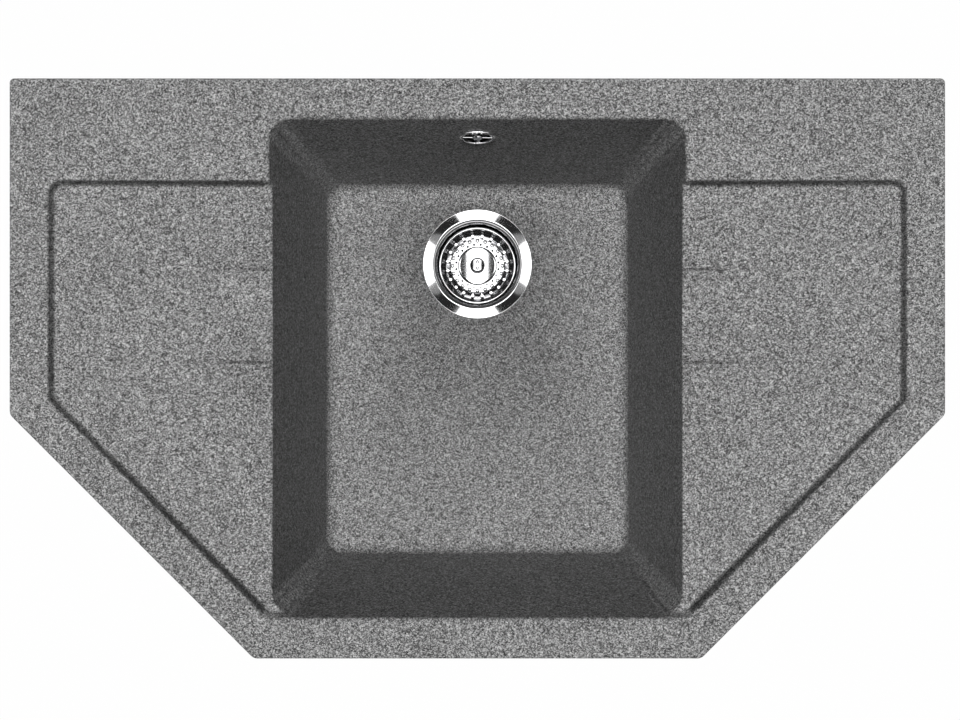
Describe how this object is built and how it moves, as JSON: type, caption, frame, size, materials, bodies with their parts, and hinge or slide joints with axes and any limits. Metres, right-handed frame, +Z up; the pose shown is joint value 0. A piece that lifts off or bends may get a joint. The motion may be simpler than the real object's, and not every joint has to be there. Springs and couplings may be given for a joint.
{
  "type": "corner kitchen sink",
  "caption": "Grey composite corner sink with a deep square bowl between two sunk drainers, two cut-off front corners, a basket strainer waste and an overflow.",
  "frame": {"origin": "middle of the outline, on the underside of the rim where it lies on the worktop", "axes": "+X along the long back edge, +Y towards the back edge, +Z up out of the worktop"},
  "size_m": [0.79, 0.49, 0.276],
  "materials": {
    "granite": "matt speckled grey composite",
    "foam_seal": "closed-cell foam",
    "chrome": "polished",
    "basket_steel": "polished sheet",
    "steel": "plain",
    "galvanised": "zinc plated",
    "brass": "plain",
    "rubber": "matt",
    "plastic": "moulded",
    "hose": "flexible tube",
    "clip_plastic": "moulded"
  },
  "bodies": {
    "sink": {"sink_body": "granite", "rim_seal": "foam_seal", "strainer_cup": "chrome", "cup_gasket": "rubber", "waste_screw": "steel", "waste_insert": "brass", "waste_body": "plastic", "waste_gasket": "rubber", "overflow_rosette": "chrome", "overflow_screw": "steel", "overflow_gasket": "rubber", "overflow_elbow": "plastic", "overflow_insert": "brass", "overflow_hose": "hose", "hose_nut_upper": "plastic", "hose_nut_lower": "plastic", "clamp_inserts": "brass", "clamp_studs": "steel"},
    "clip": {"stem_clip": "clip_plastic"},
    "basket": {"basket": "basket_steel", "basket_knob": "basket_steel", "basket_stem": "steel", "basket_seal": "rubber"},
    "clamp_washer_1": {"clamp_washer_1": "steel"},
    "clamp_nut_1": {"clamp_nut_1": "steel"},
    "clamp_claw_1": {"clamp_claw_1": "galvanised"},
    "clamp_washer_2": {"clamp_washer_2": "steel"},
    "clamp_nut_2": {"clamp_nut_2": "steel"},
    "clamp_claw_2": {"clamp_claw_2": "galvanised"},
    "clamp_washer_3": {"clamp_washer_3": "steel"},
    "clamp_nut_3": {"clamp_nut_3": "steel"},
    "clamp_claw_3": {"clamp_claw_3": "galvanised"},
    "clamp_washer_4": {"clamp_washer_4": "steel"},
    "clamp_nut_4": {"clamp_nut_4": "steel"},
    "clamp_claw_4": {"clamp_claw_4": "galvanised"},
    "clamp_washer_5": {"clamp_washer_5": "steel"},
    "clamp_nut_5": {"clamp_nut_5": "steel"},
    "clamp_claw_5": {"clamp_claw_5": "galvanised"},
    "clamp_washer_6": {"clamp_washer_6": "steel"},
    "clamp_nut_6": {"clamp_nut_6": "steel"},
    "clamp_claw_6": {"clamp_claw_6": "galvanised"}
  },
  "joints": [
    {"name": "basket_lift", "type": "slide", "parent": "sink", "child": "clip", "axis": [0, 0, 1], "range_m": [0, 0.25]},
    {"name": "basket_turn", "type": "hinge", "parent": "clip", "child": "basket", "pos_m": [0, 0.108, -0.212], "axis": [0, 0, 1], "continuous": true},
    {"name": "clamp_rise_1", "type": "slide", "parent": "sink", "child": "clamp_washer_1", "axis": [0, 0, 1], "range_m": [0, 0.03]},
    {"name": "clamp_nut_turn_1", "type": "hinge", "parent": "clamp_washer_1", "child": "clamp_nut_1", "pos_m": [0.31, 0.223, -0.0555], "axis": [0, 0, 1], "range_deg": [0, 10800]},
    {"name": "claw_swivel_1", "type": "hinge", "parent": "clamp_washer_1", "child": "clamp_claw_1", "pos_m": [0.31, 0.223, -0.05], "axis": [0, 0, 1], "continuous": true},
    {"name": "clamp_rise_2", "type": "slide", "parent": "sink", "child": "clamp_washer_2", "axis": [0, 0, 1], "range_m": [0, 0.03]},
    {"name": "clamp_nut_turn_2", "type": "hinge", "parent": "clamp_washer_2", "child": "clamp_nut_2", "pos_m": [0.373, 0.08, -0.0555], "axis": [0, 0, 1], "range_deg": [0, 10800]},
    {"name": "claw_swivel_2", "type": "hinge", "parent": "clamp_washer_2", "child": "clamp_claw_2", "pos_m": [0.373, 0.08, -0.05], "axis": [0, 0, 1], "continuous": true},
    {"name": "clamp_rise_3", "type": "slide", "parent": "sink", "child": "clamp_washer_3", "axis": [0, 0, 1], "range_m": [0, 0.03]},
    {"name": "clamp_nut_turn_3", "type": "hinge", "parent": "clamp_washer_3", "child": "clamp_nut_3", "pos_m": [0.262, -0.14089, -0.0555], "axis": [0, 0, 1], "range_deg": [0, 10800]},
    {"name": "claw_swivel_3", "type": "hinge", "parent": "clamp_washer_3", "child": "clamp_claw_3", "pos_m": [0.262, -0.14089, -0.05], "axis": [0, 0, 1], "continuous": true},
    {"name": "clamp_rise_4", "type": "slide", "parent": "sink", "child": "clamp_washer_4", "axis": [0, 0, 1], "range_m": [0, 0.03]},
    {"name": "clamp_nut_turn_4", "type": "hinge", "parent": "clamp_washer_4", "child": "clamp_nut_4", "pos_m": [-0.31, 0.223, -0.0555], "axis": [0, 0, 1], "range_deg": [0, 10800]},
    {"name": "claw_swivel_4", "type": "hinge", "parent": "clamp_washer_4", "child": "clamp_claw_4", "pos_m": [-0.31, 0.223, -0.05], "axis": [0, 0, 1], "continuous": true},
    {"name": "clamp_rise_5", "type": "slide", "parent": "sink", "child": "clamp_washer_5", "axis": [0, 0, 1], "range_m": [0, 0.03]},
    {"name": "clamp_nut_turn_5", "type": "hinge", "parent": "clamp_washer_5", "child": "clamp_nut_5", "pos_m": [-0.373, 0.08, -0.0555], "axis": [0, 0, 1], "range_deg": [0, 10800]},
    {"name": "claw_swivel_5", "type": "hinge", "parent": "clamp_washer_5", "child": "clamp_claw_5", "pos_m": [-0.373, 0.08, -0.05], "axis": [0, 0, 1], "continuous": true},
    {"name": "clamp_rise_6", "type": "slide", "parent": "sink", "child": "clamp_washer_6", "axis": [0, 0, 1], "range_m": [0, 0.03]},
    {"name": "clamp_nut_turn_6", "type": "hinge", "parent": "clamp_washer_6", "child": "clamp_nut_6", "pos_m": [-0.262, -0.14089, -0.0555], "axis": [0, 0, 1], "range_deg": [0, 10800]},
    {"name": "claw_swivel_6", "type": "hinge", "parent": "clamp_washer_6", "child": "clamp_claw_6", "pos_m": [-0.262, -0.14089, -0.05], "axis": [0, 0, 1], "continuous": true}
  ],
  "couplings": [
    {"joint": "clamp_nut_turn_1", "follows": "clamp_rise_1", "rad_per_m": 6283.2},
    {"joint": "clamp_nut_turn_2", "follows": "clamp_rise_2", "rad_per_m": 6283.2},
    {"joint": "clamp_nut_turn_3", "follows": "clamp_rise_3", "rad_per_m": 6283.2},
    {"joint": "clamp_nut_turn_4", "follows": "clamp_rise_4", "rad_per_m": 6283.2},
    {"joint": "clamp_nut_turn_5", "follows": "clamp_rise_5", "rad_per_m": 6283.2},
    {"joint": "clamp_nut_turn_6", "follows": "clamp_rise_6", "rad_per_m": 6283.2}
  ]
}
